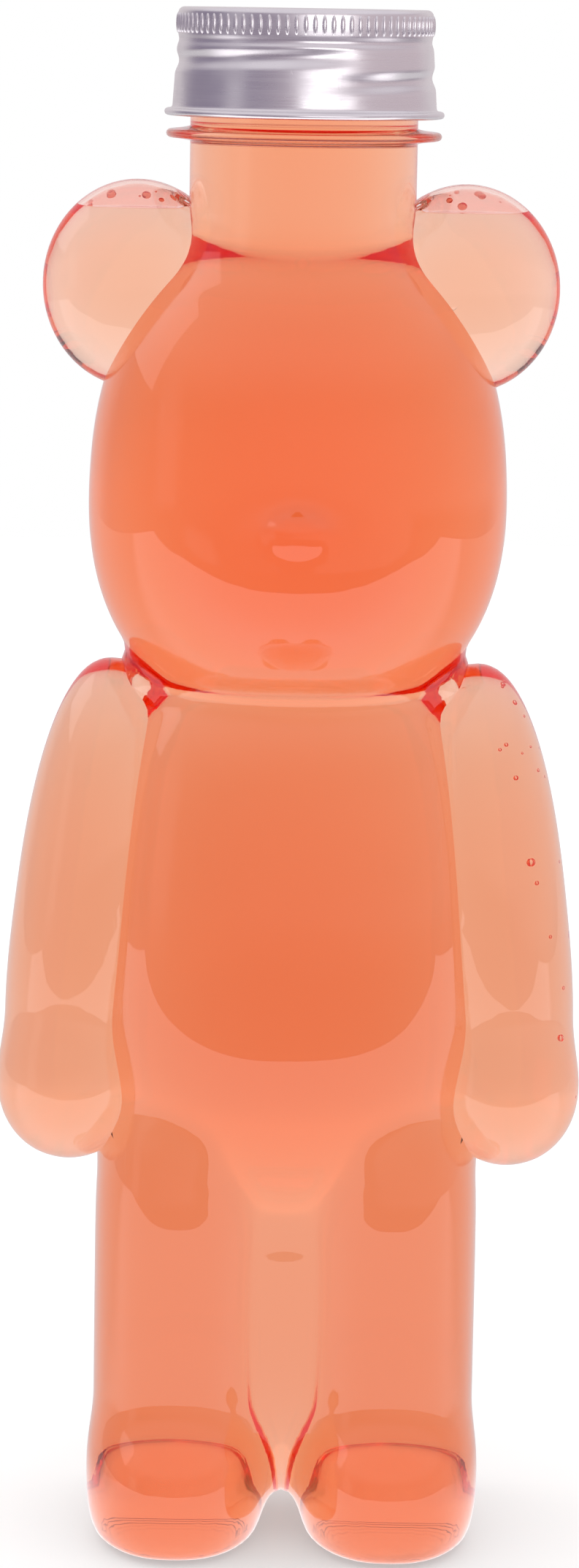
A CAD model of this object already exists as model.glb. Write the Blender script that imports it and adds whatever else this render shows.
# Bear-shaped drinks bottle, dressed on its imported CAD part: a clear blown bottle, the orange drink in it, and
# an aluminium screw cap with a foam liner. Metres, +Z up, the bear faces -Y, origin on the table.
import math

import bpy
import numpy as np
from mathutils import Matrix, Vector


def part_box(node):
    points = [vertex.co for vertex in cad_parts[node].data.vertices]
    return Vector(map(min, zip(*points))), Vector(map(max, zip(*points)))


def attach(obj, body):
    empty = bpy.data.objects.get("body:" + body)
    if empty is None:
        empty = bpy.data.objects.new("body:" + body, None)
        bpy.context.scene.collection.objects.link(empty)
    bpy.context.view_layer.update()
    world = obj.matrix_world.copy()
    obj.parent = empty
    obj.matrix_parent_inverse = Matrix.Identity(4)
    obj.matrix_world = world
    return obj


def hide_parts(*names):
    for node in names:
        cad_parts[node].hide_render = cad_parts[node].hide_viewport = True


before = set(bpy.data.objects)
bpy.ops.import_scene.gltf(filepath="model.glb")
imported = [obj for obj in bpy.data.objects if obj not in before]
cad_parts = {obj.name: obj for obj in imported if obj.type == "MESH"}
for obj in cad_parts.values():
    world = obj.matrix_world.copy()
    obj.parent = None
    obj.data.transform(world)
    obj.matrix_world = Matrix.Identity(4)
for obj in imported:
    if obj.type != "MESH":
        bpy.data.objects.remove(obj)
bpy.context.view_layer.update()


# Camera, table and light. The photograph was taken from the height of the cap, 0.74 m in front, tipped down
# and rolled a little. The bottle stands on a pale table, with white behind it and a dim room before it.
def node(tree, kind, inputs=None, **settings):
    """Adds a node, with its settings, and its inputs as values or as sockets to link from."""
    made = tree.nodes.new(kind)
    for name, value in settings.items():
        setattr(made, name, value)
    for name, value in (inputs or {}).items():
        if isinstance(value, bpy.types.NodeSocket):
            tree.links.new(value, made.inputs[name])
        else:
            made.inputs[name].default_value = value
    return made


def maths(tree, operation, first, second=0.0):
    return node(tree, "ShaderNodeMath", {0: first, 1: second}, operation=operation).outputs["Value"]


def ramp(tree, value, start, stop, low=0.0, high=1.0):
    """A value that goes smoothly from low to high as another goes from start to stop."""
    ends = {"Value": value, "From Min": start, "From Max": stop, "To Min": low, "To Max": high}
    return node(tree, "ShaderNodeMapRange", ends, interpolation_type="SMOOTHSTEP").outputs["Result"]


def blend_colour(tree, share, first, second):
    ends = {"Factor": share, "A": first, "B": second}
    return node(tree, "ShaderNodeMix", ends, data_type="RGBA").outputs["Result"]


def piece(name, points, faces, material):
    """A mesh object at the origin, smooth shaded, from points in metres and faces of point numbers."""
    mesh = bpy.data.meshes.new(name)
    mesh.from_pydata([tuple(p) for p in points], [], [tuple(f) for f in faces])
    mesh.polygons.foreach_set("use_smooth", [True] * len(mesh.polygons))
    mesh.materials.append(material)
    mesh.update()
    made = bpy.data.objects.new(name, mesh)
    bpy.context.scene.collection.objects.link(made)
    return made


def new_material(name, shader_inputs):
    """A material with one Principled shader, whose plain values are set on its own sockets."""
    material = bpy.data.materials.new(name)
    material.use_nodes = True
    shader = material.node_tree.nodes["Principled BSDF"]
    for socket, value in shader_inputs.items():
        shader.inputs[socket].default_value = value
    return material, material.node_tree, shader


# Light goes round and round in a full bottle, so many bounces are followed
scene = bpy.context.scene
scene.view_settings.view_transform = "Standard"
scene.cycles.max_bounces = 240
scene.cycles.transmission_bounces = 240
scene.cycles.glossy_bounces = 96

CAMERA_AT = (-0.00056, -0.7446, 0.2468)
CAMERA_TIP = math.radians(9.522)
CAMERA_ROLL = math.radians(0.975)
CAMERA_LENS = 107.8
lens = bpy.data.cameras.new("camera")
lens.lens = CAMERA_LENS
camera = bpy.data.objects.new("camera", lens)
scene.collection.objects.link(camera)
tipped = Matrix.Rotation(math.pi / 2 - CAMERA_TIP, 4, "X")
camera.matrix_world = Matrix.Translation(CAMERA_AT) @ tipped @ Matrix.Rotation(CAMERA_ROLL, 4, "Z")
scene.camera = camera

# The table is painted and takes the bottle's shadow. The bottle mirrors its glare, strongest in front, and
# through the drink it runs evenly into the white behind.
TABLE_SIDE, TABLE_FRONT, TABLE_BACK = 0.9, -0.3, 1.4
TABLE_LEVEL = -0.0002
TABLE_LIFT = 0.38
PAINT_DARK, PAINT_PALE = (0.89, 0.885, 0.88, 1), (0.92, 0.915, 0.91, 1)
MOTTLE_SCALE = 14
GLARE_BY_DEPTH = {"start": -0.03, "stop": 0.05, "low": 1.5, "high": 0.7}
WHITE_BY_DEPTH = {"start": 0.0, "stop": 1.3, "low": 0.88, "high": 1.0}
GLARE_TINT = (1, 0.95, 0.985, 1)
WHITE = (1, 1, 1, 1)
table_paint, tree, shader = new_material("table_paint", {"Roughness": 0.6, "Specular IOR Level": 0.2})
place = node(tree, "ShaderNodeTexCoord").outputs["Object"]
mottle = node(tree, "ShaderNodeTexNoise", {"Vector": place, "Scale": MOTTLE_SCALE, "Detail": 5})
paint = blend_colour(tree, mottle.outputs["Fac"], PAINT_DARK, PAINT_PALE)
tree.links.new(paint, shader.inputs["Base Color"])
path = node(tree, "ShaderNodeLightPath").outputs
lifted = maths(tree, "MULTIPLY", path["Is Camera Ray"], TABLE_LIFT)
lift = node(tree, "ShaderNodeEmission", {"Strength": lifted})
seen = node(tree, "ShaderNodeAddShader", {0: shader.outputs["BSDF"], 1: lift.outputs["Emission"]})
depth = node(tree, "ShaderNodeSeparateXYZ", {"Vector": place}).outputs["Y"]
glare = node(tree, "ShaderNodeMix", {"Factor": path["Is Transmission Ray"],
                                     "A": ramp(tree, depth, **GLARE_BY_DEPTH),
                                     "B": ramp(tree, depth, **WHITE_BY_DEPTH)})
glare_tint = blend_colour(tree, path["Is Transmission Ray"], GLARE_TINT, WHITE)
glow = node(tree, "ShaderNodeEmission", {"Color": glare_tint, "Strength": glare.outputs["Result"]})
indirect = maths(tree, "MAXIMUM", path["Is Glossy Ray"], path["Is Transmission Ray"])
surface = node(tree, "ShaderNodeMixShader", {0: indirect, 1: seen.outputs["Shader"],
                                             2: glow.outputs["Emission"]})
tree.links.new(surface.outputs["Shader"], tree.nodes["Material Output"].inputs["Surface"])
corners = [(-TABLE_SIDE, TABLE_FRONT, TABLE_LEVEL), (TABLE_SIDE, TABLE_FRONT, TABLE_LEVEL),
           (TABLE_SIDE, TABLE_BACK, TABLE_LEVEL), (-TABLE_SIDE, TABLE_BACK, TABLE_LEVEL)]
table = piece("table", corners, [(0, 1, 2, 3)], table_paint)

# The world is white to the camera and an even pale light on paint. Mirrored, it is a room: mauve on the left
# with a paler doorway, pink on the right, pale above and dark low down. Through the drink that room is faint
# before the bottle, and all is white at its sides and behind. Each range is of the direction along one axis.
ROOM_LEFT, ROOM_RIGHT = (0.26, 0.22, 0.3, 1), (0.62, 0.52, 0.56, 1)
ROOM_BACK, ROOM_FLOOR, ROOM_UNDER = (0.72, 0.66, 0.68, 1), (0.3, 0.25, 0.31, 1), (0.3, 0.25, 0.28, 1)
DOORWAY, CEILING = (0.58, 0.53, 0.59, 1), (0.85, 0.8, 0.85, 1)
EVEN_LIGHT = (0.8, 0.79, 0.79, 1)
LEFT_TO_RIGHT = {"start": -1.0, "stop": 0.5}
DOORWAY_LEFT, DOORWAY_RIGHT = {"start": -0.97, "stop": -0.92}, {"start": -0.78, "stop": -0.86}
DOORWAY_FRONT = {"start": -0.15, "stop": -0.3}
OVER_FLOOR = {"start": -0.12, "stop": -0.05}
UNDER_CEILING = {"start": 0.45, "stop": 0.2, "low": 0.45, "high": 1.0}
CEILING_MIRRORED = {"start": 0.25, "stop": 0.65, "high": 0.85}
CEILING_THROUGH = {"start": 0.55, "stop": 0.95, "high": 0.6}
BACK_MIRRORED = {"start": 0.45, "stop": 0.85}
WHITE_THROUGH = {"start": -0.4, "stop": -0.1, "low": 0.7, "high": 1.0}
WALLS_THROUGH = 0.8
world = bpy.data.worlds.new("studio")
world.use_nodes = True
scene.world = world
tree = world.node_tree
tree.nodes.clear()
look = node(tree, "ShaderNodeTexCoord")
way = node(tree, "ShaderNodeSeparateXYZ", {"Vector": look.outputs["Generated"]})
x, y, z = way.outputs["X"], way.outputs["Y"], way.outputs["Z"]
path = node(tree, "ShaderNodeLightPath").outputs
through = path["Is Transmission Ray"]
room = blend_colour(tree, ramp(tree, x, **LEFT_TO_RIGHT), ROOM_LEFT, ROOM_RIGHT)
doorway = maths(tree, "MULTIPLY", ramp(tree, x, **DOORWAY_LEFT), ramp(tree, x, **DOORWAY_RIGHT))
doorway = maths(tree, "MULTIPLY", doorway, ramp(tree, y, **DOORWAY_FRONT))
room = blend_colour(tree, doorway, room, DOORWAY)
low = blend_colour(tree, through, ROOM_FLOOR, ROOM_UNDER)
lit = maths(tree, "MULTIPLY", ramp(tree, z, **OVER_FLOOR), ramp(tree, z, **UNDER_CEILING))
lit = maths(tree, "MULTIPLY", lit, ramp(tree, through, 0.0, 1.0, 1.0, WALLS_THROUGH))
room = blend_colour(tree, lit, low, room)
above = node(tree, "ShaderNodeMix", {"Factor": through, "A": ramp(tree, z, **CEILING_MIRRORED),
                                     "B": ramp(tree, z, **CEILING_THROUGH)})
room = blend_colour(tree, above.outputs["Result"], room, CEILING)
room = blend_colour(tree, maths(tree, "SUBTRACT", ramp(tree, y, **BACK_MIRRORED), through), room, ROOM_BACK)
room = blend_colour(tree, maths(tree, "MULTIPLY", ramp(tree, y, **WHITE_THROUGH), through), room, WHITE)
room = blend_colour(tree, maths(tree, "MAXIMUM", path["Is Glossy Ray"], through), EVEN_LIGHT, room)
around = blend_colour(tree, path["Is Camera Ray"], room, WHITE)
sky = node(tree, "ShaderNodeBackground", {"Color": around, "Strength": 1.0})
node(tree, "ShaderNodeOutputWorld", {"Surface": sky.outputs["Background"]})


def soft_lamp(name, at, aim, size, watts):
    """A flat lamp of some width and height that stands at one point and faces another."""
    light = bpy.data.lights.new(name, "AREA")
    light.shape = "RECTANGLE"
    light.size, light.size_y = size
    light.energy = watts
    lamp = bpy.data.objects.new(name, light)
    facing = (Vector(aim) - Vector(at)).to_track_quat("-Z", "Y").to_matrix().to_4x4()
    lamp.matrix_world = Matrix.Translation(at) @ facing
    scene.collection.objects.link(lamp)
    return lamp


# One large soft window, high on the left
window = soft_lamp("window", at=(-1.25, 0.35, 1.05), aim=(0, 0, 0.13), size=(1.1, 0.9), watts=2.2)


# Bottle. Clear PET: the screw finish is moulded on a short tube, which is then heated and blown out in a
# two-part mould, so the bear is one even skin under a thicker neck. Its forms are the CAD part's. Ears and
# arms meet the rest in clean creases, and the other creases are rounded.
MM = 0.001
WALL = 0.8
NECK_RADIUS = 17.9
NECK_WALL = 2.1
NECK_CUT = 221.0
SKIN_STEP = 1.25


def box_mm(name):
    """A CAD node's lowest and highest corners, in millimetres."""
    return [np.array(corner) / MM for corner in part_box(name)]


def form(at, size, plan=2.0, rise=2.0, taper=0.0, lean=0.0, fillet=2.5):
    """A ball stretched to a size. plan and rise square it, taper widens its top and lean turns it about Y."""
    return {"at": np.array(at, float), "half": np.array(size, float) / 2, "plan": plan, "rise": rise,
            "taper": taper, "lean": math.radians(lean), "fillet": fillet}


def both_sides(at, lean=0.0, **shape):
    return [form(at, lean=lean, **shape), form((-at[0], at[1], at[2]), lean=-lean, **shape)]


# The collar fills the narrow gap between the head and the top of each arm
head = form(at=(0, 2.25, 172), size=(66.4, 59.5, 80), plan=2.3, rise=2.3, taper=-0.06)
torso = form(at=(0, 2.25, 98.5), size=(65, 52, 97), plan=2.3, rise=2.8, taper=-0.1, fillet=4)
muzzle = form(at=(0, -20.6, 159), size=(30, 20, 22), fillet=6)
nose = form(at=(0, -28, 165), size=(11, 8, 8), fillet=1.5)
collar = both_sides(at=(23.5, 1, 138.5), size=(11, 17, 9), fillet=4)
leg_web = form(at=(0, 0, 38), size=(18.8, 36, 64), plan=3, rise=3, fillet=6)
ears = both_sides(at=(26, 2.25, 201.5), size=(30, 21, 33), plan=2.2, fillet=1.6)
arms = both_sides(at=(32.55, 0, 102), size=(24, 31, 80), plan=2.2, rise=2.5, taper=-0.06, lean=-6,
                  fillet=1.8)
paws = both_sides(at=(35, -7, 73.2), size=(22, 22, 22), fillet=6)
legs = both_sides(at=(17.2, 0, 33), size=(27.6, 45, 74), plan=2.6, rise=6, fillet=5)
feet = both_sides(at=(17.2, -11, 9), size=(27, 38, 26), plan=2.3, rise=2.6, fillet=5)
TRUNK = [head, torso, *collar, muzzle, nose, leg_web, *legs, *feet]
LIMBS = [*ears, *arms, *paws]
NECK_ROOT = 195
NECK_FILLET = 4
SOLE_FILLET = 2


def depth_in(shape, points):
    """How far each point lies outside one form, in millimetres, to first order."""
    off = points - shape["at"]
    cos, sin = math.cos(shape["lean"]), math.sin(shape["lean"])
    half, plan, rise = shape["half"], shape["plan"], shape["rise"]
    w = (off[..., 0] * sin + off[..., 2] * cos) / half[2]
    swell = np.maximum(1 + shape["taper"] * w, 0.3)
    u = np.abs(off[..., 0] * cos - off[..., 2] * sin) / half[0] / swell + 1e-9
    v = np.abs(off[..., 1]) / half[1] / swell + 1e-9
    around = (u**plan + v**plan) ** (1 / plan)
    size = (around**rise + np.abs(w)**rise) ** (1 / rise)
    out = (around / size) ** (rise - 1)
    up = np.sign(w) * (np.abs(w) / size) ** (rise - 1) - out * around * shape["taper"] / swell
    slope = np.sqrt((out * (u / around) ** (plan - 1) / half[0] / swell) ** 2
                    + (out * (v / around) ** (plan - 1) / half[1] / swell) ** 2 + (up / half[2]) ** 2)
    return (size - 1) / np.maximum(slope, 1e-4)


def joined(a, b, fillet):
    """The union of two depths, with a fillet in the crease between them."""
    near = np.maximum(fillet - np.abs(a - b), 0) / fillet
    return np.minimum(a, b) - near * near * fillet / 4


def blended(shapes, points):
    """How far points lie outside a group of forms that run into each other."""
    far = 9.0
    total = np.full(points.shape[:-1], far)
    for shape in shapes:
        reach = shape["half"].max() if shape["lean"] else shape["half"] * (1 + abs(shape["taper"]))
        near = np.all(np.abs(points - shape["at"]) < reach + far, axis=-1)
        total[near] = joined(total[near], depth_in(shape, points[near]), shape["fillet"])
    return total


def trunk_depth(points):
    """How far points lie outside the head, torso and legs, and the neck, which grows out of the head."""
    neck = np.maximum(np.hypot(points[..., 0], points[..., 1]) - NECK_RADIUS, NECK_ROOT - points[..., 2])
    return joined(blended(TRUNK, points), neck, NECK_FILLET)


def limb_depth(points):
    """How far points lie outside the ears, arms and paws, which meet the trunk in a clean crease."""
    return blended(LIMBS, points)


def bear_depth(points):
    """How far points lie outside the bear with its neck and flat soles, exact near the skin."""
    whole = np.minimum(trunk_depth(points), limb_depth(points))
    return -joined(-whole, points[..., 2], SOLE_FILLET)


def outward(depth, points):
    """Unit normals of a surface given by a depth."""
    slope = np.stack([depth(points + step) - depth(points - step) for step in np.eye(3) * 0.05], axis=-1)
    return slope / np.linalg.norm(slope, axis=-1, keepdims=True)


def on_crease(points, tries=3):
    """Points drawn onto the line where a limb meets the trunk, how far each one went, and the way in between
    there: a step along it leaves both surfaces at the same rate."""
    moved = points
    for _ in range(tries):
        trunk_out, limb_out = outward(trunk_depth, moved), outward(limb_depth, moved)
        shared = np.sum(trunk_out * limb_out, axis=1)
        trunk_gap, limb_gap = trunk_depth(moved), limb_depth(moved)
        spread = np.maximum(1 - shared * shared, 0.1)
        by_trunk = (shared * limb_gap - trunk_gap) / spread
        by_limb = (shared * trunk_gap - limb_gap) / spread
        moved = moved + by_trunk[:, None] * trunk_out + by_limb[:, None] * limb_out
    between = (trunk_out + limb_out) / np.maximum(1 + shared, 0.3)[:, None]
    return moved, np.linalg.norm(moved - points, axis=1), between


CREASE_REACH = 0.75 * SKIN_STEP
CREASE_SHORT = 0.3 * SKIN_STEP


def closed_up(quads, points, creased):
    """For each point, the one it becomes where quads that lie flat in a crease are closed up across it."""
    flat = quads[creased[quads].all(axis=1)]
    sides = np.linalg.norm(points[flat] - points[np.roll(flat, -1, axis=1)], axis=2)
    longer = sides[:, 0] + sides[:, 2] > sides[:, 1] + sides[:, 3]
    pairs = np.where(longer[:, None], np.roll(flat, -1, axis=1), flat).reshape(-1, 2)
    edges = np.concatenate([quads[:, [i, i - 1]] for i in range(4)])
    edges = edges[creased[edges].all(axis=1)]
    short = np.linalg.norm(points[edges[:, 0]] - points[edges[:, 1]], axis=1) < CREASE_SHORT
    pairs = np.concatenate([pairs, edges[short]])
    same = np.arange(len(points))
    for _ in range(20):
        lowest = np.minimum(same[pairs[:, 0]], same[pairs[:, 1]])
        np.minimum.at(same, pairs[:, 0], lowest)
        np.minimum.at(same, pairs[:, 1], lowest)
        same = same[same]
    return same


def triangles(quads, points, creased):
    """Quads cut along the crease that crosses them, or the short way, without closed-up ones and folds."""
    marked = creased[quads]
    on_first, on_second = marked[:, 0] & marked[:, 2], marked[:, 1] & marked[:, 3]
    across = np.linalg.norm(points[quads[:, [0, 1]]] - points[quads[:, [2, 3]]], axis=2)
    by_crease = on_first == (marked.sum(axis=1) == 2)
    first = np.where(on_first != on_second, by_crease, across[:, 0] < across[:, 1])
    lined = np.where(first[:, None], quads, np.roll(quads, -1, axis=1))
    made = np.concatenate([lined[:, [0, 1, 2]], lined[:, [0, 2, 3]]])
    made = made[(made[:, 0] != made[:, 1]) & (made[:, 1] != made[:, 2]) & (made[:, 2] != made[:, 0])]
    _, which, uses = np.unique(np.sort(made, axis=1), axis=0, return_inverse=True, return_counts=True)
    return made[uses[which.ravel()] == 1]


SKIN_SPAN = np.array([96.0, 70.0, NECK_CUT])


def bear_skin(rounds=6):
    """Points, normals and faces of the skin, open at the neck, and which points lie round that opening and in
    creases. Each cell of a grid that the skin passes through gives a point, which is drawn onto the skin."""
    counts = (SKIN_SPAN / SKIN_STEP).astype(int) + 4
    low = -SKIN_STEP * (counts - 1) / 2
    low[2] = NECK_CUT - (counts[2] - 1.5) * SKIN_STEP
    axes = [low[i] + SKIN_STEP * np.arange(counts[i]) for i in range(3)]
    grid = np.stack(np.meshgrid(*axes, indexing="ij"), axis=-1)
    inside = bear_depth(grid) < 0
    limb_nearer = limb_depth(grid) < trunk_depth(grid)

    def corners_of(flags):
        return sum(flags[a:counts[0] - 1 + a, b:counts[1] - 1 + b, c:counts[2] - 1 + c].astype(int)
                   for a in (0, 1) for b in (0, 1) for c in (0, 1))

    filled, limb_corners = corners_of(inside), corners_of(limb_nearer)
    cells = np.argwhere((filled > 0) & (filled < 8))
    crease = np.flatnonzero(limb_corners[tuple(cells.T)] % 8)
    number = np.full(filled.shape, -1)
    number[tuple(cells.T)] = np.arange(len(cells))
    quads = []
    for axis in range(3):
        one, two = (axis + 1) % 3, (axis + 2) % 3
        lower = inside.take(range(counts[axis] - 1), axis)
        upper = inside.take(range(1, counts[axis]), axis)
        at = np.argwhere(lower != upper)
        for side in (one, two):
            at = at[(at[:, side] > 0) & (at[:, side] < counts[side] - 1)]
        ring = []
        for a, b in ((1, 1), (0, 1), (0, 0), (1, 0)):
            cell = at.copy()
            cell[:, one] -= a
            cell[:, two] -= b
            ring.append(number[tuple(cell.T)])
        ring = np.stack(ring, axis=1)
        quads.append(np.where(lower[tuple(at.T)][:, None], ring, ring[:, ::-1]))
    quads = np.concatenate(quads)
    points = low + SKIN_STEP * (cells + 0.5)
    brim = np.flatnonzero(cells[:, 2] == counts[2] - 2)
    links = np.concatenate([quads[:, [i, (i + 1) % 4]] for i in range(4)])
    for turn in range(rounds):
        if turn:
            total, count = np.zeros_like(points), np.zeros(len(points))
            for a, b in ((0, 1), (1, 0)):
                np.add.at(total, links[:, a], points[links[:, b]])
                np.add.at(count, links[:, a], 1)
            points = points + 0.5 * (total / count[:, None] - points)
        for _ in range(2):
            points = points - outward(bear_depth, points) * bear_depth(points)[:, None]
        moved, travel, _ = on_crease(points[crease])
        near = travel < CREASE_REACH
        points[crease[near]] = moved[near]
        radial = points[brim, :2] / np.linalg.norm(points[brim, :2], axis=1, keepdims=True)
        points[brim] = np.column_stack([radial * NECK_RADIUS, np.full(len(brim), NECK_CUT)])
    creased = np.isin(np.arange(len(points)), crease[near])
    same = closed_up(quads, points, creased)
    left = np.unique(same)
    quads, brim = np.searchsorted(left, same)[quads], np.searchsorted(left, brim)
    crease = np.searchsorted(left, np.unique(same[crease[near]]))
    points, creased = points[left], creased[left]
    normals = outward(bear_depth, points)
    normals[crease] = on_crease(points[crease], tries=1)[2]
    normals[brim, 2] = 0
    brim = brim[np.argsort(np.arctan2(points[brim, 1], points[brim, 0]))]
    return points, normals, triangles(quads, points, creased), brim, crease


def smooth_step(value, start, stop):
    share = np.clip((value - start) / (stop - start), 0, 1)
    return share * share * (3 - 2 * share)


# The wall thickens to the neck's inside the neck, and over a few millimetres below it
THICK_WITHIN = (19.2, 18.1)
THICK_ABOVE = (208, 214)
skin, skin_out, skin_faces, skin_brim, skin_crease = bear_skin()
neck_angles = np.arctan2(skin[skin_brim, 1], skin[skin_brim, 0])
on_neck = smooth_step(np.hypot(skin[:, 0], skin[:, 1]), *THICK_WITHIN) * smooth_step(skin[:, 2], *THICK_ABOVE)
wall_here = (WALL + (NECK_WALL - WALL) * on_neck)[:, None]


def arc(centre, radius, start, stop, steps):
    """Points of [radius, height] round part of a circle, from one angle to another in degrees."""
    turns = np.radians(np.linspace(start, stop, steps))
    return [(centre[0] + radius * math.cos(turn), centre[1] + radius * math.sin(turn)) for turn in turns]


def bend(start, corner, stop, steps):
    """Points of [radius, height] on a curve from start to stop that follows the sides of a corner."""
    start, corner, stop = np.array(start), np.array(corner), np.array(stop)
    return [tuple((1 - s) ** 2 * start + 2 * s * (1 - s) * corner + s * s * stop)
            for s in np.linspace(0, 1, steps)]


def turned(profile, angles, first=0, below=None, shaped=None):
    """Points and faces of [radius, height] turned about Z, numbered from first, and the last row of points.
    below is a row that it grows from. A row of radius 0 is one point. shaped adds to the radius."""
    points, faces, count = [], [], len(angles)
    for radius, height in profile:
        reach = np.full(count, radius) + (shaped(angles, height) if shaped else 0)
        row = np.column_stack([reach * np.cos(angles), reach * np.sin(angles), np.full(count, height)])
        here = [first + len(points) + i for i in range(count)] if radius else [first + len(points)] * count
        points += list(row) if radius else [row[0]]
        for i in range(count if below else 0):
            corners = [below[i], below[(i + 1) % count], here[(i + 1) % count], here[i]]
            faces.append(list(dict.fromkeys(corners)))
        below = here
    return np.array(points), faces, below


neck_high = box_mm("neck_finish")[1]
BORE_RADIUS = NECK_RADIUS - NECK_WALL
RIM = neck_high[2]
RIM_ROUND = 0.7
THREAD_PITCH = 4.2
THREAD_TURNS = 1.1
THREAD_STANDOUT = 1.3
THREAD_HALF_WIDTH = 1.25
THREAD_FADE = 0.06
THREAD_START = RIM - 7.7
RING_STANDOUT = neck_high[0] - NECK_RADIUS
RING_MIDDLE = 225.4
RING_ROOT = 1.2
RING_EDGE = 0.65


def thread_laps(angles):
    """How far along the thread each angle lies, from 0 to 1, on the thread's first turn and its second."""
    turn = np.mod(angles + math.pi / 2, 2 * math.pi) / (2 * math.pi)
    return [(turn + lap) / THREAD_TURNS for lap in range(2)]


def thread_standout(angles, height):
    """The neck's screw thread: one round ridge that climbs anticlockwise and fades at its ends."""
    out = np.zeros_like(angles)
    for along in thread_laps(angles):
        fade = np.clip(np.minimum(along, 1 - along) / THREAD_FADE, 0, 1)
        off = np.abs(height - THREAD_START - THREAD_PITCH * THREAD_TURNS * along) / THREAD_HALF_WIDTH
        out = np.maximum(out, THREAD_STANDOUT * fade * np.clip(1 - off * off, 0, 1) ** 0.8)
    return out


ring_tip = NECK_RADIUS + RING_STANDOUT - RING_EDGE
ring_foot, ring_head = RING_MIDDLE - RING_ROOT, RING_MIDDLE + RING_ROOT
ring_low = bend((NECK_RADIUS, ring_foot), (NECK_RADIUS + 0.5, RING_MIDDLE - RING_EDGE - 0.25),
                (ring_tip, RING_MIDDLE - RING_EDGE), 9)
ring_high = [(radius, 2 * RING_MIDDLE - height) for radius, height in reversed(ring_low)]
neck_outside = [(NECK_RADIUS, height) for height in np.linspace(NECK_CUT + 0.8, ring_foot - 0.4, 4)]
neck_outside += ring_low + arc((ring_tip, RING_MIDDLE), RING_EDGE, -70, 70, 5) + ring_high
neck_outside += [(NECK_RADIUS, height) for height in np.arange(ring_head + 0.4, RIM - RIM_ROUND, 0.35)]
neck_outside += arc((NECK_RADIUS - RIM_ROUND, RIM - RIM_ROUND), RIM_ROUND, 0, 90, 6)
bore = arc((BORE_RADIUS + RIM_ROUND, RIM - RIM_ROUND), RIM_ROUND, 90, 180, 6)
bore += [(BORE_RADIUS, height) for height in np.linspace(RIM - 2, NECK_CUT + 1, 12)]
rows, row_faces, last = turned(neck_outside + bore, neck_angles, 2 * len(skin), list(skin_brim),
                               thread_standout)
inner_skin = skin - skin_out * wall_here
inner_brim = skin_brim + len(skin)
row_faces += [(last[i], last[i - 1], inner_brim[i - 1], inner_brim[i])[::-1] for i in range(len(last))]
shell_points = np.concatenate([skin, inner_skin, rows]) * MM
shell_faces = [*skin_faces, *(skin_faces[:, ::-1] + len(skin)), *row_faces]


def handling_marks():
    """A shader group for wear from hands and crates: pale smudges, and fine slanting scratches."""
    group = bpy.data.node_groups.new("handling_marks", "ShaderNodeTree")
    group.interface.new_socket("Vector", in_out="INPUT", socket_type="NodeSocketVector")
    group.interface.new_socket("Smudge Scale", in_out="INPUT", socket_type="NodeSocketFloat")
    group.interface.new_socket("Scratch Scale", in_out="INPUT", socket_type="NodeSocketFloat")
    group.interface.new_socket("Smudge", in_out="OUTPUT", socket_type="NodeSocketFloat")
    group.interface.new_socket("Scratch", in_out="OUTPUT", socket_type="NodeSocketFloat")
    given = node(group, "NodeGroupInput").outputs
    cloud = node(group, "ShaderNodeTexNoise", {"Vector": given["Vector"], "Scale": given["Smudge Scale"],
                                               "Detail": 4.0}).outputs["Fac"]
    slanted = node(group, "ShaderNodeMapping", {"Vector": given["Vector"], "Scale": (1, 0.3, 0.04),
                                                "Rotation": (0, math.radians(28), 0)}).outputs["Vector"]
    streak = node(group, "ShaderNodeTexNoise", {"Vector": slanted, "Scale": given["Scratch Scale"],
                                                "Detail": 2.0}).outputs["Fac"]
    thin = ramp(group, maths(group, "ABSOLUTE", maths(group, "SUBTRACT", streak, 0.62)), 0.012, 0.0)
    broken = maths(group, "MULTIPLY", thin, ramp(group, cloud, 0.5, 0.62))
    node(group, "NodeGroupOutput", {"Smudge": ramp(group, cloud, 0.42, 0.72), "Scratch": broken})
    return group


def marked(tree, place, smudge_scale, scratch_scale):
    """The smudges and scratches at a place, from the group of handling marks."""
    used = node(tree, "ShaderNodeGroup", node_tree=marks_group)
    tree.links.new(place, used.inputs["Vector"])
    used.inputs["Smudge Scale"].default_value = smudge_scale
    used.inputs["Scratch Scale"].default_value = scratch_scale
    return used.outputs["Smudge"], used.outputs["Scratch"]


# A film of dried drink stains the plastic round the air in the tops of the ears
EAR_LEVEL = 213.5
FILM_LOW = EAR_LEVEL * MM
FILM_SIDE = (NECK_RADIUS + 0.6) * MM
FILM_EDGE = 0.3 * MM
FILM_STAIN = (0.97, 0.72, 0.66, 1)
PARTING_LINE = 2.25 * MM
PARTING_HALF_WIDTH = 0.3 * MM
PLASTIC_CLEAN, PLASTIC_SMUDGED = (0.985, 0.95, 0.965, 1), (0.975, 0.935, 0.945, 1)
CLEAN_ROUGHNESS, SMUDGE_ROUGHNESS, SCRATCH_ROUGHNESS = 0.004, 0.02, 0.12
marks_group = handling_marks()
clear_plastic, tree, shader = new_material("clear_plastic", {"Transmission Weight": 1.0, "IOR": 1.55})
place = node(tree, "ShaderNodeTexCoord").outputs["Object"]
smudge, scratch = marked(tree, place, 32, 900)
tint = blend_colour(tree, smudge, PLASTIC_CLEAN, PLASTIC_SMUDGED)
axes = node(tree, "ShaderNodeSeparateXYZ", {"Vector": place}).outputs
film = maths(tree, "MULTIPLY", ramp(tree, axes["Z"], FILM_LOW, FILM_LOW + FILM_EDGE),
             ramp(tree, maths(tree, "ABSOLUTE", axes["X"]), FILM_SIDE, FILM_SIDE + FILM_EDGE))
tint = blend_colour(tree, film, tint, FILM_STAIN)
tree.links.new(tint, shader.inputs["Base Color"])
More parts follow.
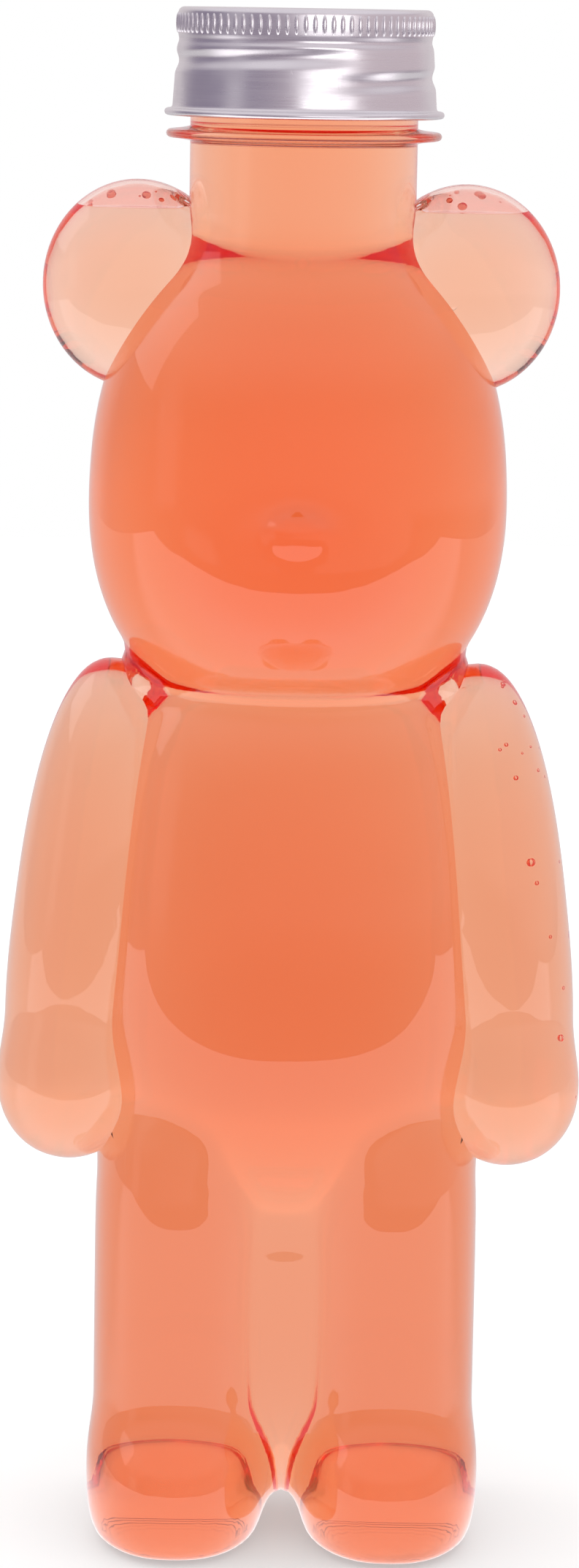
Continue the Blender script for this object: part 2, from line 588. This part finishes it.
rough = maths(tree, "ADD", maths(tree, "MULTIPLY", smudge, SMUDGE_ROUGHNESS), CLEAN_ROUGHNESS)
rough = maths(tree, "ADD", rough, maths(tree, "MULTIPLY", scratch, SCRATCH_ROUGHNESS))
tree.links.new(rough, shader.inputs["Roughness"])
from_parting = maths(tree, "ABSOLUTE", maths(tree, "SUBTRACT", axes["Y"], PARTING_LINE))
seam = ramp(tree, from_parting, PARTING_HALF_WIDTH, 0.0)
wave = node(tree, "ShaderNodeTexNoise", {"Vector": place, "Scale": 55, "Detail": 1.0}).outputs["Fac"]
height = maths(tree, "ADD", maths(tree, "MULTIPLY", seam, 0.25), wave)
relief = node(tree, "ShaderNodeBump", {"Height": height, "Strength": 0.25, "Distance": 0.3 * MM})
tree.links.new(relief.outputs["Normal"], shader.inputs["Normal"])


def edge_ends(mesh):
    """The two point numbers of each edge."""
    ends = np.empty(2 * len(mesh.edges), np.int32)
    mesh.edges.foreach_get("vertices", ends)
    return ends.reshape(-1, 2)


def sharpen_between(mesh, numbers):
    """Marks the edges whose two ends are both among some points as sharp."""
    listed = np.zeros(len(mesh.vertices), bool)
    listed[numbers] = True
    mesh.edges.foreach_set("use_edge_sharp", listed[edge_ends(mesh)].all(axis=1))


shell = piece("clear_shell", shell_points, shell_faces, clear_plastic)
sharpen_between(shell.data, np.concatenate([skin_crease, skin_crease + len(skin)]))

# Where the drink wets the inside, plastic and drink touch, and their faces reflect far less than against air
WETTED_TINT = (0.1, 0.1, 0.1, 1)
DRINK_LEVEL = box_mm("drink")[1][2]
wetted_plastic = clear_plastic.copy()
wetted_plastic.name = "wetted_plastic"
wetted_plastic.node_tree.nodes["Principled BSDF"].inputs["Specular Tint"].default_value = WETTED_TINT
shell.data.materials.append(wetted_plastic)
centres = np.empty(3 * len(shell_faces))
shell.data.polygons.foreach_get("center", centres)
centres = centres.reshape(-1, 3) / MM
order = np.arange(len(shell_faces))
from_axis = np.hypot(centres[:, 0], centres[:, 1])
on_skin = order < 2 * len(skin_faces)
on_inside = (order >= len(skin_faces)) & (on_skin | (from_axis < BORE_RADIUS + 0.3))
in_neck = (from_axis < NECK_RADIUS) & (centres[:, 2] < DRINK_LEVEL)
wetted = on_inside & ((centres[:, 2] < EAR_LEVEL) | in_neck)
shell.data.polygons.foreach_set("material_index", wetted.astype(np.int32))
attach(shell, "bottle")
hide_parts("bear_body", "neck_finish")


# Drink. A clear orange soft drink that fills the bottle up into the neck and wets its wall, so it laps a hair
# into the plastic. It leaves air in the top of each ear, and small bubbles cling to the bear's left arm.
DRINK_LAP = 0.05
EAR_INSIDE_RADIUS = 16.8
MENISCUS = 0.7
DRINK_SOAK = (0.995, 0.45, 0.04, 1)
DRINK_DENSITY = 52.0
PULP_TINT = (1, 0.985, 0.97, 1)

orange_drink, tree, shader = new_material("orange_drink", {"Transmission Weight": 1.0, "IOR": 1.34,
                                                           "Specular Tint": WETTED_TINT})
place = node(tree, "ShaderNodeTexCoord").outputs["Object"]
pulp = node(tree, "ShaderNodeTexNoise", {"Vector": place, "Scale": 24, "Detail": 3.0}).outputs["Fac"]
tree.links.new(blend_colour(tree, pulp, WHITE, PULP_TINT), shader.inputs["Base Color"])
tree.links.new(ramp(tree, pulp, 0.4, 0.7, 0.0, 0.012), shader.inputs["Roughness"])
soak = node(tree, "ShaderNodeVolumeAbsorption", {"Color": DRINK_SOAK, "Density": DRINK_DENSITY})
tree.links.new(soak.outputs["Volume"], tree.nodes["Material Output"].inputs["Volume"])

drink_radius = BORE_RADIUS + DRINK_LAP
drink_top = [(drink_radius, height) for height in np.linspace(NECK_CUT + 1, DRINK_LEVEL, 6)]
drink_top += bend((drink_radius, DRINK_LEVEL + MENISCUS), (drink_radius - 0.3, DRINK_LEVEL),
                  (drink_radius - 3, DRINK_LEVEL), 6)
drink_top += [(drink_radius / 2, DRINK_LEVEL), (0, DRINK_LEVEL)]
drink_skin = skin - skin_out * (wall_here - DRINK_LAP)
rows, row_faces, last = turned(drink_top, neck_angles, len(skin), list(skin_brim))
drink_points = np.concatenate([drink_skin, rows]) * MM
drink = piece("drink_fill", drink_points, [*skin_faces, *row_faces], orange_drink)
sharpen_between(drink.data, skin_crease)

# The air in the ears is cut from the drink by a ring round the neck
AIR_RADIUS, AIR_TOP = 60, 235
air_angles = np.linspace(0, 2 * math.pi, 96, endpoint=False)
air_profile = [(EAR_INSIDE_RADIUS, AIR_TOP), (EAR_INSIDE_RADIUS, EAR_LEVEL), (AIR_RADIUS, EAR_LEVEL),
               (AIR_RADIUS, AIR_TOP), (EAR_INSIDE_RADIUS, AIR_TOP)]
points, faces, _ = turned(air_profile, air_angles)
ear_air = piece("ear_air", points * MM, faces, orange_drink)


def kept(made):
    """Turns an object's modifiers into its plain mesh."""
    bpy.context.view_layer.update()
    mesh = bpy.data.meshes.new_from_object(made.evaluated_get(bpy.context.evaluated_depsgraph_get()))
    made.modifiers.clear()
    made.data = mesh


cut = drink.modifiers.new("ear_air", "BOOLEAN")
cut.operation = "DIFFERENCE"
cut.solver = "EXACT"
cut.object = ear_air
kept(drink)
bpy.data.objects.remove(ear_air)


def sharpen_above(mesh, height, angle):
    """Marks edges that turn more than an angle as sharp too, but only above a height."""
    before, sharp = np.empty(len(mesh.edges), bool), np.empty(len(mesh.edges), bool)
    mesh.edges.foreach_get("use_edge_sharp", before)
    mesh.set_sharp_from_angle(angle=angle)
    mesh.edges.foreach_get("use_edge_sharp", sharp)
    places = np.empty(3 * len(mesh.vertices))
    mesh.vertices.foreach_get("co", places)
    high = places[2::3][edge_ends(mesh)].min(axis=1) > height
    mesh.edges.foreach_set("use_edge_sharp", before | sharp & high)


sharpen_above(drink.data, (EAR_LEVEL - 0.01) * MM, math.radians(40))


def geometry_tree(name, sockets):
    """A geometry node tree with a Geometry input and output, and named inputs of the kinds given."""
    tree = bpy.data.node_groups.new(name, "GeometryNodeTree")
    tree.interface.new_socket("Geometry", in_out="INPUT", socket_type="NodeSocketGeometry")
    for label, kind in sockets.items():
        tree.interface.new_socket(label, in_out="INPUT", socket_type="NodeSocket" + kind)
    tree.interface.new_socket("Geometry", in_out="OUTPUT", socket_type="NodeSocketGeometry")
    return tree, node(tree, "NodeGroupInput").outputs


def grow(made, tree, values):
    """Runs a geometry tree on an object, with its inputs set, and keeps the result as its plain mesh."""
    modifier = made.modifiers.new(tree.name, "NODES")
    modifier.node_group = tree
    for item in tree.interface.items_tree:
        if item.in_out == "INPUT" and item.name in values:
            modifier[item.identifier] = values[item.name]
    kept(made)


def bead_tree(name, hollow):
    """Round beads scattered on a surface, below it. Hollow ones are bubbles in it and are joined to it."""
    tree, given = geometry_tree(name, {"Lowest": "Vector", "Highest": "Vector", "Density": "Float",
                                       "Seed": "Int", "Least Radius": "Float", "Most Radius": "Float",
                                       "Flatness": "Float", "Sink": "Float", "Material": "Material"})
    at = node(tree, "GeometryNodeInputPosition").outputs["Position"]
    sides = []
    for operation, limit in (("GREATER_THAN", "Lowest"), ("LESS_THAN", "Highest")):
        compare = node(tree, "FunctionNodeCompare", data_type="VECTOR", mode="ELEMENT", operation=operation)
        first, second = [socket for socket in compare.inputs if socket.type == "VECTOR"][:2]
        tree.links.new(at, first)
        tree.links.new(given[limit], second)
        sides.append(compare.outputs["Result"])
    within = node(tree, "FunctionNodeBooleanMath", {0: sides[0], 1: sides[1]})
    spots = node(tree, "GeometryNodeDistributePointsOnFaces", {
        "Mesh": given["Geometry"], "Selection": within.outputs["Boolean"], "Density": given["Density"],
        "Seed": given["Seed"]})
    radius = node(tree, "FunctionNodeRandomValue", {2: given["Least Radius"], 3: given["Most Radius"],
                                                    "Seed": given["Seed"]}).outputs[1]
    sunk = node(tree, "ShaderNodeMath", {0: radius, 1: given["Sink"]}, operation="MULTIPLY")
    inwards = node(tree, "ShaderNodeVectorMath", {0: spots.outputs["Normal"], "Scale": sunk.outputs["Value"]},
                   operation="SCALE")
    placed = node(tree, "GeometryNodeSetPosition", {"Geometry": spots.outputs["Points"],
                                                    "Offset": inwards.outputs["Vector"]})
    flat = node(tree, "ShaderNodeMath", {0: radius, 1: given["Flatness"]}, operation="MULTIPLY")
    stretch = node(tree, "ShaderNodeCombineXYZ", {"X": radius, "Y": radius, "Z": flat.outputs["Value"]})
    bead = node(tree, "GeometryNodeMeshIcoSphere", {"Radius": 1.0, "Subdivisions": 3})
    beads = node(tree, "GeometryNodeInstanceOnPoints", {
        "Points": placed.outputs["Geometry"], "Instance": bead.outputs["Mesh"],
        "Rotation": spots.outputs["Rotation"], "Scale": stretch.outputs["Vector"]})
    real = node(tree, "GeometryNodeRealizeInstances", {"Geometry": beads.outputs["Instances"]})
    smooth = node(tree, "GeometryNodeSetShadeSmooth", {"Geometry": real.outputs["Geometry"]})
    real = smooth.outputs["Geometry"]
    if hollow:
        turned_in = node(tree, "GeometryNodeFlipFaces", {"Mesh": real}).outputs["Mesh"]
        both = node(tree, "GeometryNodeJoinGeometry", {"Geometry": turned_in})
        tree.links.new(given["Geometry"], both.inputs["Geometry"])
        real = both.outputs["Geometry"]
    done = node(tree, "GeometryNodeSetMaterial", {"Geometry": real, "Material": given["Material"]})
    node(tree, "NodeGroupOutput", {"Geometry": done.outputs["Geometry"]})
    return tree


# A cluster of bubbles on the shoulder, and fewer and larger ones down the arm
bubbles = bead_tree("bubbles", hollow=True)
grow(drink, bubbles, {"Lowest": (0.031, -0.03, 0.124), "Highest": (0.05, 0.0, 0.141), "Density": 60000.0,
                      "Seed": 4, "Least Radius": 0.0002, "Most Radius": 0.00045, "Flatness": 1.0,
                      "Sink": -1.6, "Material": orange_drink})
grow(drink, bubbles, {"Lowest": (0.038, -0.03, 0.07), "Highest": (0.05, 0.0, 0.122), "Density": 9000.0,
                      "Seed": 9, "Least Radius": 0.0002, "Most Radius": 0.0007, "Flatness": 1.0,
                      "Sink": -2.5, "Material": orange_drink})
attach(drink, "bottle")
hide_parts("drink")


# Drops in the ears. Where the bottle was shaken, drops of the drink were left on the wall of the air pockets.
# They hang there by themselves and dry, so they are darker and less clear than the drink.
POCKET_LOW, POCKET_SIDE = EAR_LEVEL + 0.9, NECK_RADIUS + 1.2
DROP_DARK, DROP_PALE = (0.80, 0.24, 0.16, 1), (0.88, 0.40, 0.28, 1)
in_pocket = (skin[:, 2] > POCKET_LOW) & (np.hypot(skin[:, 0], skin[:, 1]) > POCKET_SIDE)
pocket_faces = skin_faces[in_pocket[skin_faces].all(axis=1)]
drying_drink, tree, shader = new_material("drying_drink", {"Transmission Weight": 1.0, "IOR": 1.36})
place = node(tree, "ShaderNodeTexCoord").outputs["Object"]
sugar = node(tree, "ShaderNodeTexNoise", {"Vector": place, "Scale": 900, "Detail": 2.0}).outputs["Fac"]
tree.links.new(blend_colour(tree, sugar, DROP_DARK, DROP_PALE), shader.inputs["Base Color"])
tree.links.new(ramp(tree, sugar, 0.3, 0.7, 0.03, 0.12), shader.inputs["Roughness"])
ear_drops = piece("ear_drops", inner_skin * MM, pocket_faces[:, ::-1], drying_drink)
drops = bead_tree("drops", hollow=False)
grow(ear_drops, drops, {"Lowest": (-1.0, -1.0, 0.0), "Highest": (1.0, 1.0, 1.0), "Density": 45000.0,
                        "Seed": 12, "Least Radius": 0.00015, "Most Radius": 0.0008, "Flatness": 0.6,
                        "Sink": 0.75, "Material": drying_drink})
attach(ear_drops, "bottle")


# Liner. A disc of white polyethylene foam, punched from a sheet and pressed into the cap. It seals on the
# bottle's rim, which has left a ring in its underside.
liner_low, liner_high = box_mm("cap_liner")
LINER_RADIUS = liner_high[0]
LINER_ROUND = 0.3
RIM_PRINT = 0.12
FOAM_DARK, FOAM_PALE = (0.80, 0.785, 0.76, 1), (0.92, 0.915, 0.9, 1)
LINER_ANGLES = np.linspace(0, 2 * math.pi, 128, endpoint=False)


def liner_underside():
    """The liner's lower face from the middle out, with the print of the rim."""
    middle = (NECK_RADIUS + BORE_RADIUS) / 2
    reach = NECK_WALL / 2
    radii = [0, 5, 10, *np.linspace(middle - 1.6 * reach, LINER_RADIUS - LINER_ROUND, 15)]
    return [(radius, liner_low[2] + RIM_PRINT * smooth_step(abs(radius - middle), 1.4 * reach, 0.8 * reach))
            for radius in radii]


liner_profile = liner_underside()
liner_profile += arc((LINER_RADIUS - LINER_ROUND, liner_low[2] + LINER_ROUND), LINER_ROUND, -70, 0, 4)
liner_profile += arc((LINER_RADIUS - LINER_ROUND, liner_high[2] - LINER_ROUND), LINER_ROUND, 0, 90, 4)
liner_profile += [(10, liner_high[2]), (0, liner_high[2])]

foam_liner, tree, shader = new_material("foam_liner", {"Roughness": 0.75, "Specular IOR Level": 0.3})
place = node(tree, "ShaderNodeTexCoord").outputs["Object"]
pores = node(tree, "ShaderNodeTexVoronoi", {"Vector": place, "Scale": 1600}).outputs["Distance"]
foam = blend_colour(tree, ramp(tree, pores, 0.0, 0.35), FOAM_DARK, FOAM_PALE)
tree.links.new(foam, shader.inputs["Base Color"])
relief = node(tree, "ShaderNodeBump", {"Height": pores, "Strength": 0.5, "Distance": 0.2 * MM})
tree.links.new(relief.outputs["Normal"], shader.inputs["Normal"])

points, faces, _ = turned(liner_profile, LINER_ANGLES)
liner = piece("foam_liner_disc", points * MM, faces, foam_liner)
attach(liner, "liner")
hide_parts("cap_liner")


# Cap. Pressed from one disc of soft aluminium sheet: the top band is knurled for grip, the thread is rolled
# into the skirt over the bottle's own thread, and the cut edge is curled into a hem.
cap_low, cap_high = box_mm("cap_shell")
CAP_BASE, CAP_TOP, HEM_RADIUS = cap_low[2], cap_high[2], cap_high[0]
CAP_RADIUS = 20.0
CAP_SHEET = 0.4
CAP_CORNER = 1.0
CAP_FLARE = 0.75
HEM_ROUND = 0.55
ROLL_DEPTH = 0.5
ROLL_HALF_WIDTH = 2.0
ROLL_FADE = 0.12
WAIST_DEPTH = 0.25
WAIST_HEIGHT = 1.1
KNURL_HEIGHT = 3.0
KNURL_COUNT = 88
RIB_SIZE = (0.00035, 0.0004, 0.0016)
METAL_DARK, METAL_PALE = (0.82, 0.805, 0.83, 1), (0.90, 0.89, 0.905, 1)
METAL_SMUDGED = (0.74, 0.72, 0.75, 1)
CAP_ANGLES = np.linspace(0, 2 * math.pi, 360, endpoint=False)
knurl_low = CAP_TOP - CAP_CORNER - KNURL_HEIGHT
waist_at = knurl_low - WAIST_HEIGHT


def skirt_roll(angles, height):
    """How the rollers move the skirt: a helical groove, half a pitch below the neck's ridge, and a waist."""
    depth = WAIST_DEPTH * math.exp(-((height - waist_at) / (WAIST_HEIGHT / 1.5)) ** 2)
    for along in thread_laps(angles):
        fade = smooth_step(np.minimum(along, 1 - along), 0, ROLL_FADE)
        groove = THREAD_START - THREAD_PITCH / 2 + THREAD_PITCH * THREAD_TURNS * along
        off = np.clip(np.abs(height - groove) / ROLL_HALF_WIDTH, 0, 1)
        depth = np.maximum(depth, ROLL_DEPTH * fade * np.cos(off * math.pi / 2) ** 2)
    return -depth


hem_top = CAP_BASE + 3 * HEM_ROUND
hem_middle = (HEM_RADIUS - HEM_ROUND, CAP_BASE + HEM_ROUND)
skirt_foot = CAP_RADIUS + CAP_FLARE
corner_middle = (CAP_RADIUS - CAP_CORNER, CAP_TOP - CAP_CORNER)
skirt = [(CAP_RADIUS + CAP_FLARE * (knurl_low - height) / (knurl_low - hem_top), height)
         for height in np.linspace(hem_top, knurl_low, 46)]
cap_inside = [(radius, CAP_TOP - CAP_SHEET) for radius in (0, 9, 16)]
cap_inside += arc(corner_middle, CAP_CORNER - CAP_SHEET, 90, 0, 6)
cap_inside += [(radius - CAP_SHEET, height) for radius, height in reversed(skirt)]
hem = bend((skirt_foot - CAP_SHEET, CAP_BASE + 2 * HEM_ROUND), (skirt_foot - CAP_SHEET, CAP_BASE),
           (skirt_foot + 0.2, CAP_BASE), 5)
hem += arc(hem_middle, HEM_ROUND, -90, 80, 10)
hem += bend((hem_middle[0], CAP_BASE + 2 * HEM_ROUND), (skirt_foot, CAP_BASE + 2 * HEM_ROUND),
            skirt[0], 5)[:-1]
cap_outside = skirt + [(CAP_RADIUS, knurl_low + KNURL_HEIGHT / 2)]
cap_outside += arc(corner_middle, CAP_CORNER, 0, 90, 9)
cap_outside += [(radius, CAP_TOP) for radius in (16, 9, 0)]

aluminium_sheet, tree, shader = new_material("aluminium_sheet", {"Metallic": 1.0})
place = node(tree, "ShaderNodeTexCoord").outputs["Object"]
smudge, scratch = marked(tree, place, 110, 1500)
axes = node(tree, "ShaderNodeSeparateXYZ", {"Vector": place}).outputs
squares = maths(tree, "ADD", maths(tree, "POWER", axes["X"], 2.0), maths(tree, "POWER", axes["Y"], 2.0))
ringwise = node(tree, "ShaderNodeCombineXYZ", {"X": maths(tree, "MULTIPLY", axes["X"], 0.02),
                                               "Y": maths(tree, "SQRT", squares), "Z": axes["Z"]})
brushing = node(tree, "ShaderNodeTexNoise", {"Vector": ringwise.outputs["Vector"], "Scale": 3500,
                                             "Detail": 3.0}).outputs["Fac"]
metal = blend_colour(tree, brushing, METAL_DARK, METAL_PALE)
metal = blend_colour(tree, maths(tree, "MULTIPLY", smudge, 0.25), metal, METAL_SMUDGED)
tree.links.new(metal, shader.inputs["Base Color"])
rough = maths(tree, "ADD", ramp(tree, brushing, 0.3, 0.7, 0.25, 0.32), maths(tree, "MULTIPLY", smudge, 0.08))
tree.links.new(rough, shader.inputs["Roughness"])
height = maths(tree, "SUBTRACT", brushing, maths(tree, "MULTIPLY", scratch, 1.5))
relief = node(tree, "ShaderNodeBump", {"Height": height, "Strength": 0.12, "Distance": 0.05 * MM})
tree.links.new(relief.outputs["Normal"], shader.inputs["Normal"])

points, faces, _ = turned(cap_inside + hem + cap_outside, CAP_ANGLES, shaped=skirt_roll)
cap = piece("rolled_cap", points * MM, faces, aluminium_sheet)

knurl, given = geometry_tree("knurl", {"Ribs": "Int", "Band Radius": "Float", "Band Height": "Float",
                                       "Rib Size": "Vector", "Material": "Material"})
ring = node(knurl, "GeometryNodeMeshCircle", {"Vertices": given["Ribs"], "Radius": given["Band Radius"]})
lifted = node(knurl, "ShaderNodeCombineXYZ", {"Z": given["Band Height"]})
raised = node(knurl, "GeometryNodeTransform", {"Geometry": ring.outputs["Mesh"],
                                               "Translation": lifted.outputs["Vector"]})
rib_at = node(knurl, "GeometryNodeInputPosition").outputs["Position"]
outwards = node(knurl, "ShaderNodeVectorMath", {0: rib_at, 1: (1.0, 1.0, 0.0)}, operation="MULTIPLY")
aligned = node(knurl, "FunctionNodeAlignRotationToVector", {"Vector": outwards.outputs["Vector"]}, axis="X",
               pivot_axis="Z")
rib = node(knurl, "GeometryNodeMeshUVSphere", {"Segments": 10, "Rings": 8, "Radius": 1.0})
ribs = node(knurl, "GeometryNodeInstanceOnPoints", {
    "Points": raised.outputs["Geometry"], "Instance": rib.outputs["Mesh"],
    "Rotation": aligned.outputs["Rotation"], "Scale": given["Rib Size"]})
real = node(knurl, "GeometryNodeRealizeInstances", {"Geometry": ribs.outputs["Instances"]})
smooth = node(knurl, "GeometryNodeSetShadeSmooth", {"Geometry": real.outputs["Geometry"]})
both = node(knurl, "GeometryNodeJoinGeometry", {"Geometry": smooth.outputs["Geometry"]})
knurl.links.new(given["Geometry"], both.inputs["Geometry"])
coated = node(knurl, "GeometryNodeSetMaterial", {"Geometry": both.outputs["Geometry"],
                                                 "Material": given["Material"]})
node(knurl, "NodeGroupOutput", {"Geometry": coated.outputs["Geometry"]})
grow(cap, knurl, {"Ribs": KNURL_COUNT, "Band Radius": CAP_RADIUS * MM, "Rib Size": RIB_SIZE,
                  "Band Height": (knurl_low + KNURL_HEIGHT / 2) * MM, "Material": aluminium_sheet})
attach(cap, "cap")
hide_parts("cap_shell")

# A white card to the right of the camera shines on the cap alone, and the window on all but the cap
card = soft_lamp("cap_card", at=(0.342, -0.94, 0.29), aim=(0, 0, 0.236), size=(0.8, 0.3), watts=1.3)
lit_by_card = bpy.data.collections.new("lit_by_card")
lit_by_card.objects.link(cap)
card.light_linking.receiver_collection = lit_by_card
hidden_from_window = bpy.data.collections.new("hidden_from_window")
hidden_from_window.objects.link(cap)
hidden_from_window.collection_objects[0].light_linking.link_state = "EXCLUDE"
window.light_linking.receiver_collection = hidden_from_window
